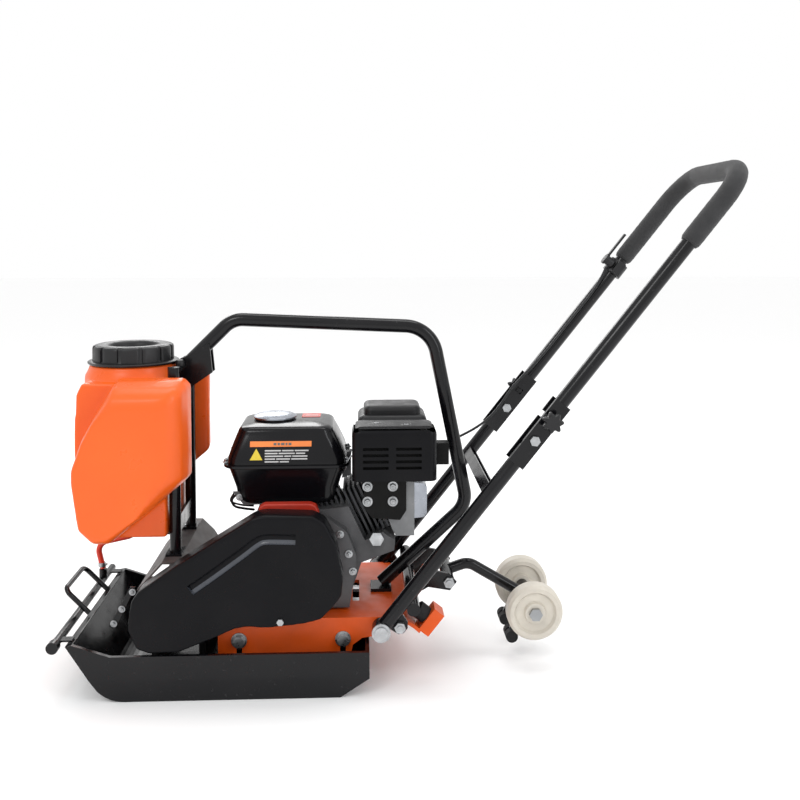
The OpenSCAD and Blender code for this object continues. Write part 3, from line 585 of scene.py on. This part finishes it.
def screw_form(form, radius, height):
    head = [(0.3, 0), (radius, 0), (radius, height * 0.5), (radius * 0.8, height)]
    socket = [(radius * 0.45, height), (radius * 0.4, height * 0.4), (0.3, height * 0.4)]
    turned(form, head + socket, (0, 0, 0), 24)


def screw(name, place, radius, height, way, finish="zinc", body="machine"):
    mesh = mesh_of(screw_form, radius, height)
    mesh.transform(Matrix.Translation(place) @ TURN[way])
    return piece(name, mesh, finish, body, 30)


def wire(name, points, radius, finish, body="machine", steps=8):
    return piece(name, mesh_of(tube, smooth_path(points, steps), radius, 10), finish, body, 60)


def plate(name, outline, y0, y1, finish, body="machine", soften=0.6):
    """A flat plate across Y with soft edges."""
    return piece(name, mesh_of(slab, outline, y0, y1), finish, body, 30, soften)


# ---------------------------------------------------------------- belt guard
GUARD = [(-167, 124), (-160, 169), (-148, 186), (-93, 224), (42, 308), (58, 312), (140, 309), (160, 298),
         (179, 261), (190, 205), (188, 174), (176, 158), (152, 134), (120, 127), (65, 122), (27, 124),
         (9, 121), (-19, 108), (-83, 83), (-130, 81), (-152, 90)]
GUARD_LOW, GUARD_HIGH = corners("belt_guard_cover")
GROOVE = [Vector((-62, 188)), Vector((54, 270)), Vector((112, 271))]
GROOVE_R = 10.5
GUARD_MIDDLE = (12, 200)
BACK_SHARE = 0.985


def guard_form(form):
    slab(form, GUARD, GUARD_LOW.y, GUARD_HIGH.y + 24)


def channel_form(form):
    """A capsule cut into the outer face, deeper at its lower end."""
    y = GUARD_LOW.y
    path = [(-62, y - 5, 188), (-30, y - 5, 210), (20, y - 5, 246), (48, y - 5.4, 267), (62, y - 5.6, 272),
            (84, y - 5.6, 272), (112, y - 5.6, 271)]
    tube(form, smooth_path(path, 4), GROOVE_R, 24)


def belt_guard():
    cover = moulded("belt_guard_shell", mesh_of(guard_form), "satin_black", 3.0, 14)
    boolean(cover, mesh_of(channel_form))
    form = bmesh.new()
    form.from_mesh(cover.data)
    cut_at = Vector((0, GUARD_HIGH.y * MM, 0))
    geometry = form.verts[:] + form.edges[:] + form.faces[:]
    bmesh.ops.bisect_plane(form, geom=geometry, plane_co=cut_at, plane_no=(0, 1, 0), clear_outer=True)
    edges = [e for e in form.edges if e.is_boundary]
    bmesh.ops.holes_fill(form, edges=edges)
    form.to_mesh(cover.data)
    form.free()
    cover.data.shade_smooth()
    cover.data.set_sharp_from_angle(angle=math.radians(40))
    paint_groove_reflection(cover)
    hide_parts("belt_guard_cover")
    guard_back()


def paint_groove_reflection(cover):
    """Gives the faces of the groove that look upwards a lighter, bluish colour, a painted reflection of the
    sky, and a glossier finish.
    """
    cover.data.materials.append(MATERIALS["groove_painted_reflection"])
    for face in cover.data.polygons:
        inside = GUARD_LOW.y + 0.4 < face.center.y / MM < GUARD_LOW.y + 8
        # upward faces in the groove take the painted sky reflection
        if inside and face.normal.z > 0.2 and near_groove(face.center / MM):
            face.material_index = 1


def guard_back():
    """Red back plate, a little smaller than the cover, and the block that stands above it."""
    x0, z0 = GUARD_MIDDLE
    outline = [(x0 + (x - x0) * BACK_SHARE, z0 + (z - z0) * BACK_SHARE) for x, z in GUARD]
    back = plate("guard_back", outline, GUARD_HIGH.y, GUARD_HIGH.y + 2, "red_paint", soften=0.4)
    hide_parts("belt_guard_back")
    block = [(44, 300), (48, 314), (56, 319), (134, 319), (144, 315), (150, 300)]
    plate("guard_back_block", block, GUARD_HIGH.y, GUARD_HIGH.y + 19, "red_paint", soften=2.5)


def near_groove(spot):
    """True within the band of the bent groove."""
    place = Vector((spot.x, spot.z))
    for a, b in zip(GROOVE, GROOVE[1:]):
        share = max(0, min(1, (place - a).dot(b - a) / (b - a).length_squared))
        if (a + (b - a) * share - place).length < GROOVE_R + 0.5:
            return True
    return False


# ---------------------------------------------------------------- fuel tank
FUEL_LOW, FUEL_HIGH = corners("fuel_tank")


def fuel_side(t):
    """Sides of the tank's upper half, from the seam (0) to the shoulder (1)."""
    bulge = t ** 1.2
    return (FUEL_LOW.x + 7 + 17 * bulge, FUEL_HIGH.x - 7 - 22 * bulge, FUEL_LOW.y + 7 + 15 * bulge,
            FUEL_HIGH.y - 7 - 10 * bulge)


def fuel_top_form(form):
    levels = [(372, *fuel_side(0), 24)]
    levels += [(380 + 48 * i / 8, *fuel_side(i / 8), 24) for i in range(9)]
    x0, x1, y0, y1 = fuel_side(1)
    for i in range(1, 7):
        turn = math.radians(90 * i / 6)
        inset = 2 * math.sin(turn) + 8 * (1 - math.cos(turn))
        levels.append((428 + 9 * math.sin(turn), x0 + inset, x1 - inset, y0 + inset, y1 - inset, 22))
    levels.append((439.5, x0 + 22, x1 - 22, y0 + 22, y1 - 22, 18))
    loft(form, stacked(levels))


def near_face(x, z, lift=0.3):
    """A place on the tank's near face."""
    return x, fuel_side(min(1, max(0, (z - 380) / 48)))[2] - lift, z


def fuel_base_form(form):
    x0, x1, y0, y1 = FUEL_LOW.x + 8, FUEL_HIGH.x - 8, FUEL_LOW.y + 8, FUEL_HIGH.y - 8
    levels = []
    for i in range(7):
        turn = math.radians(90 * i / 6)
        inset = 14 + 18 * (1 - math.sin(turn))
        levels.append((314 - 17 * math.cos(turn), x0 + inset, x1 - inset, y0 + inset, y1 - inset, 24))
    levels += [(330, x0 + 11, x1 - 11, y0 + 11, y1 - 11, 26), (362, x0 + 2, x1 - 2, y0 + 2, y1 - 2, 24),
               (372, x0, x1, y0, y1, 24)]
    loft(form, stacked(levels))


def flange_form(form):
    x0, x1, y0, y1 = FUEL_LOW.x, FUEL_HIGH.x, FUEL_LOW.y, FUEL_HIGH.y
    loft(form, stacked([(368.6, x0 + 1, x1 - 1, y0 + 1, y1 - 1, 30), (369.6, x0, x1, y0, y1, 31),
                        (372.6, x0, x1, y0, y1, 31), (373.6, x0 + 1, x1 - 1, y0 + 1, y1 - 1, 30)]))


def label(name, corners_3d, finish, lift, body="machine"):
    """A thin flat sticker over four places of a flat face."""
    spots = [Vector(c) for c in corners_3d]
    out = (spots[1] - spots[0]).cross(spots[-1] - spots[0]).normalized() * lift
    form = bmesh.new()
    loft(form, [[s - out * 0.6 for s in spots], [s + out for s in spots]])
    bmesh.ops.recalc_face_normals(form, faces=form.faces)
    mesh = bpy.data.meshes.new(name)
    form.to_mesh(mesh)
    form.free()
    made = piece(name, mesh, finish, body, 30)
    return made


def fuel_labels():
    """Plain stickers: a bar, a triangle and rows of short strokes on the near face, and one on the top."""
    label("label_bar", [near_face(27, 405), near_face(134, 405), near_face(134, 414), near_face(27, 414)],
          "label_orange", 0.5)
    tip = [near_face(38.2, 402), near_face(37.8, 402)]
    label("label_triangle", [near_face(27, 383), near_face(49, 383), *tip], "label_yellow", 0.5)
    for i, (start, end) in enumerate(((68, 73), (75, 79), (81, 87), (89, 92), (94, 99))):
        spots = [(start, 407.5), (end, 407.5), (end, 411.5), (start, 411.5)]
        label("label_mark_%d" % i, [near_face(x, z, 0.9) for x, z in spots], "label_grey", 0.2)
    for row in range(5):
        z = 398.5 - row * 4.6
        start = 53
        for length in ((30, 22, 26), (24, 30, 18), (34, 14, 28), (20, 26, 30), (26, 18))[row]:
            spots = [(start, z - 1.1), (start + length - 2, z - 1.1), (start + length - 2, z + 1.1),
                     (start, z + 1.1)]
            label("label_row_%d_%d" % (row, start), [near_face(a, b) for a, b in spots], "label_white", 0.4)
            start += length
    top = 439.6
    label("label_top", [(112, 8, top), (146, 8, top), (146, 40, top), (112, 40, top)], "label_red", 0.5)
    bar = [(116, 20), (142, 20), (142, 24), (116, 24)]
    label("label_top_bar", [(x, y, top + 0.5) for x, y in bar], "label_white", 0.2)


def fuel_tank():
    top = piece("fuel_tank_top", mesh_of(fuel_top_form), "tank_black", smooth=60)
    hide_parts("fuel_tank")
    piece("fuel_tank_base", mesh_of(fuel_base_form), "tank_black", smooth=60)
    piece("fuel_tank_flange", mesh_of(flange_form), "tank_black", smooth=40)
    x, y = (FUEL_CAP_LOW.x + FUEL_CAP_HIGH.x) / 2, (FUEL_CAP_LOW.y + FUEL_CAP_HIGH.y) / 2
    neck = [(20, 430), (37, 430), (37, 440), (34, 441), (20, 441)]
    piece("filler_neck", mesh_of(turned, neck, (x, y, 0), 64), "black_plastic", smooth=40)
    fuel_labels()
    for i, spot in enumerate(((-18, -60), (-18, 50), (196, -60), (196, 50))):
        bolt("fuel_tank_bolt_%d" % i, (*spot, 374), 4, 4, "z", "zinc")


FUEL_CAP_LOW, FUEL_CAP_HIGH = corners("fuel_cap")


def fuel_cap():
    x, y = (FUEL_CAP_LOW.x + FUEL_CAP_HIGH.x) / 2, (FUEL_CAP_LOW.y + FUEL_CAP_HIGH.y) / 2
    z, top = 441.3, FUEL_CAP_HIGH.z + 2
    wide = FUEL_CAP_HIGH.x - x
    cap = [(1, z), (wide - 2, z), (wide, z + 1), (wide, z + 3.5), (wide - 2, z + 5), (wide - 6, z + 7),
           (wide - 12, top - 1.6), (wide - 20, top - 0.4), (12, top), (1, top)]
    made = piece("fuel_cap_dome", mesh_of(turned, cap, (x, y, 0), 96), "silver", "fuel_cap_body", 50)
    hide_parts("fuel_cap")


# ---------------------------------------------------------------- muffler guard and air cleaner
def box_form(form, low, high, radius, edge):
    loft(form, stacked(dome(low.z, high.z, (low.x, high.x, low.y, high.y), radius, edge)))


def inner_box_form(form, low, high):
    box_form(form, low + Vector((2, 2, -6)), high - Vector((2, 2, 2)), 10, 8)


def cutter_form(form, low, high):
    """A block between two corners, with its upright edges just broken."""
    loft(form, stacked([(low[2], low[0], high[0], low[1], high[1], 0.4),
                        (high[2], low[0], high[0], low[1], high[1], 0.4)]))


def muffler_guard():
    low, high = corners("muffler_guard")
    guard = piece("heat_guard", mesh_of(box_form, low, high, 14, 15), "satin_black", smooth=40)
    boolean(guard, mesh_of(inner_box_form, low, high))
    slots = [((x, low.y - 5, 372 + i * 11), (x + 44, low.y + 8, 377 + i * 11))
             for i in range(4) for x in (224, 281)]
    slots += [((high.x - 8, -92, 365), (high.x + 5, -58, 417))]
    for start, end in slots:
        boolean(guard, mesh_of(cutter_form, start, end))
    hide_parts("muffler_guard")
    for i, (x, y) in enumerate(((248, -76), (300, -92))):
        rim = [(5.5, -1), (9.5, -1), (9.5, 0), (8.6, 0.7), (7.2, 0.6), (6, -0.6)]
        recess = mesh_of(turned, rim, (x, y, high.z - 0.4), 40)
        piece("guard_recess_%d" % i, recess, "black_paint", smooth=50)
        screw("guard_screw_%d" % i, (x, y, high.z - 1.6), 5.4, 1.8, "z", "zinc")
    for i in range(3):
        screw("guard_rivet_%d" % i, (334, low.y + 1.4, 362 + i * 9), 2.6, 1.2, "-y", "silver")


def air_cleaner():
    low, high = corners("air_cleaner_lid")
    lid_form = mesh_of(box_form, low, Vector((high.x, high.y, 440)), 14, 12)
    lid = piece("filter_lid", lid_form, "black_plastic", smooth=50)
    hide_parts("air_cleaner_lid")
    step_low, step_high = Vector((low.x + 11, low.y + 10, 430)), Vector((high.x - 11, high.y - 10, high.z))
    piece("filter_lid_step", mesh_of(box_form, step_low, step_high, 16, 9), "black_plastic", smooth=50)
    rim_low, rim_high = Vector((low.x, low.y, 398)), Vector((high.x, high.y, 404))
    piece("filter_lid_rim", mesh_of(box_form, rim_low, rim_high, 14, 2), "black_plastic", smooth=50)
    base_low, base_high = corners("air_cleaner_base")
    base_form = mesh_of(box_form, Vector((base_low.x, base_low.y, 352)), base_high, 12, 2)
    base = piece("filter_base", base_form, "black_plastic", smooth=50)
    spigot = [(2, base_low.z), (15, base_low.z), (15, 354), (2, 354)]
    piece("filter_spigot", mesh_of(turned, spigot, (240, 84, 0), 40), "black_plastic", smooth=40)
    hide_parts("air_cleaner_base")
    nut = [(1, high.z - 4), (9, high.z - 4), (9, high.z - 1), (4, high.z - 0.4), (1, high.z - 0.4)]
    piece("filter_nut", mesh_of(turned, nut, (280, 60, 0), 32), "zinc", smooth=40)


# ---------------------------------------------------------------- details round the engine and the nose
TILT = math.radians(25)


def cylinder_fins():
    """Short fins on the near side, between the crankcase and the long fins of the block."""
    along, across = Vector((math.cos(TILT), math.sin(TILT))), Vector((-math.sin(TILT), math.cos(TILT)))
    start = Vector((CRANK.x, CRANK.z))
    for i in range(5):
        a = 76 + 9 * i
        outline = [start + along * u + across * v for u, v in ((a, 20), (a + 4, 20), (a + 4, 62), (a, 62))]
        plate("short_fin_%d" % i, [tuple(spot) for spot in outline], -61, -20, "dark_alu")


def exhaust_flange():
    for i, (x, z) in enumerate(((232, 302), (277, 302), (232, 329), (277, 329))):
        bolt("exhaust_nut_%d" % i, (x, -68, z), 6, 6, "-y", "zinc")
    for i, (x, z) in enumerate(((184, 254), (199, 219), (206, 188), (150, 282))):
        bolt("cover_bolt_%d" % i, (x, -100, z), 4.5, 5, "-y", "zinc")


def shroud_bits():
    """Plate, drain screw, wires and the governor's links between the engine's parts."""
    plate("shroud_plate", [(-6, 322), (58, 322), (70, 300), (14, 297)], -66, -62, "cast_alu")
    bolt("shroud_screw", (6, -66, 312), 4, 4, "-y", "zinc")
    lead = [(2, -64, 318), (-8, -60, 306), (-4, -52, 292), (12, -40, 284), (26, -20, 276)]
    wire("switch_wire", lead, 2.2, "rubber")
    wire("coil_wire", [(-4, -56, 318), (-12, -46, 300), (4, -30, 288), (24, -10, 280)], 1.8, "rubber")
    wire("governor_link", [(176, -52, 345), (192, -62, 358), (196, -66, 372), (204, -62, 384)], 1.6, "steel")
    wire("governor_rod", [(182, -40, 340), (196, -44, 366), (203, -48, 392)], 2.0, "zinc")
    plate("governor_arm", [(186, 340), (203, 346), (203, 388), (196, 388)], -50, -47, "dark_alu")


def nose_bits():
    """Strip and bolts between the belt guard and the nose, and a rest for the filler strap."""
    plate("nose_strip", [(-161, 180), (-170, 180), (-207, 112), (-196, 108)], -137, -131, "black_paint")
    for i, (x, z) in enumerate(((-166, 172), (-184, 143), (-198, 118))):
        bolt("nose_bolt_%d" % i, (x, -137, z), 3.8, 4, "-y", "steel")
    strap = [(1, 540), (7, 540), (8, 542), (8, 548), (6, 551), (1, 552)]
    piece("strap_eye", mesh_of(turned, strap, (-103, -24, 0), 32), "black_plastic", smooth=40)


# ---------------------------------------------------------------- hose, cable and grip
HOSE = [(-220, 118, 221), (-220, 118, 188), (-296, 118, 172), (-285, 118, 122.5)]
CABLE = [(258, 112, 345), (275, 116, 352), (300, 121, 355), (330, 126, 354), (360, 130, 353),
         (390, 132, 360), (418, 131, 374), (446, 130, 389), (470, 129, 406), (489, 128, 425),
         (504, 128, 445), (525, 129, 475), (554, 131, 505), (588, 131, 542), (619, 131, 581),
         (650, 131, 621), (681, 132, 660), (699, 133, 689), (710, 134, 711)]


def water_hose():
    hose = piece("spray_hose", mesh_of(tube, bent(HOSE, [20, 20], 16), 5.5, 24), "hose_red", smooth=60)
    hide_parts("water_hose")
    for i, (z, x) in enumerate(((214, -220), (130, -286.6))):
        ring = [(5.6, z - 4), (7.0, z - 4), (7.4, z - 3), (7.4, z + 3), (7.0, z + 4), (5.6, z + 4)]
        piece("hose_clip_%d" % i, mesh_of(turned, ring, (x, 118, 0), 40), "zinc", smooth=40)
        screw("hose_clip_screw_%d" % i, (x + 7, 118, z), 2.5, 3, "x", "zinc")


def throttle_cable():
    made = piece("control_cable", mesh_of(tube, smooth_path(CABLE, 6), 2.5, 14), "black_plastic", smooth=60)
    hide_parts("throttle_cable")
    world = made.matrix_world.copy()
    made.parent = None
    made.matrix_world = world
    del made["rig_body"]
    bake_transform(made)


# Foam grip: the handle's corners from the pivot, its half width, and where the foam ends on each side.
BEND = 70
TOP = 1001
ARM = 150
NEAR_END = 837
FAR_END = 792
FOAM_R = 17.5


def grip_form(form):
    path = [on_handle(NEAR_END, -ARM), on_handle(TOP, -ARM), on_handle(TOP, ARM), on_handle(FAR_END, ARM)]
    line = bent(path, [BEND, BEND], 20)
    fine_line = []
    for a, b in zip(line, line[1:]):
        count = max(1, round((b - a).length / 5))
        fine_line += [a + (b - a) * k / count for k in range(count)]
    fine_line.append(line[-1])
    last = len(fine_line) - 1

    def radius(share):
        edge = min(share, 1 - share) * last
        swell = 1 - 0.16 * math.exp(-edge * 1.6)
        crease = 0.22 * math.sin(share * 311) * math.sin(share * 97 + 1)
        return FOAM_R * swell + crease

    tube(form, fine_line, radius, 40)


def foam_grip():
    grip = piece("grip_foam", mesh_of(grip_form), "foam", "handle_upper", 80)
    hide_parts("foam_grip")


# ---------------------------------------------------------------- knobs
def knob_form(form):
    """Seven soft lobes round a hub; z grows away from the tube."""
    def ring(z, size, depth):
        points = []
        for i in range(98):
            turn = 2 * math.pi * i / 98
            points.append(((size - depth + depth * math.cos(7 * turn)) * math.cos(turn),
                           (size - depth + depth * math.cos(7 * turn)) * math.sin(turn), z))
        return points
    loft(form, [ring(26, 15.4, 1.6), ring(27.5, 17.6, 2.4), ring(30, 18.6, 2.7), ring(36, 18.6, 2.7),
                ring(38.6, 17.4, 2.5), ring(40, 14.8, 1.9), ring(39.6, 8, 0.2)])
    hub = [(4.2, 16.5), (9, 16.5), (9.6, 20), (11, 26), (11, 36), (1, 36), (1, 34), (4.2, 34)]
    turned(form, hub, (0, 0, 0), 40)


def knobs():
    at = hinge("knob_left_turn")
    for name, side in (("left", -1), ("right", 1)):
        mesh = mesh_of(knob_form)
        upright = Matrix.Rotation(math.radians(-90 * side), 4, "X")
        mesh.transform(Matrix.Translation((at.x, side * ARM, at.z)) @ upright)
        made = piece("star_knob_" + name, mesh, "black_plastic", "knob_%s_body" % name, 40)
        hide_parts("knob_" + name)


camera()
studio()
soften_cad()
water_tank()
tank_cap()
belt_guard()
fuel_tank()
fuel_cap()
muffler_guard()
air_cleaner()
cylinder_fins()
exhaust_flange()
shroud_bits()
nose_bits()
water_hose()
throttle_cable()
foam_grip()
knobs()
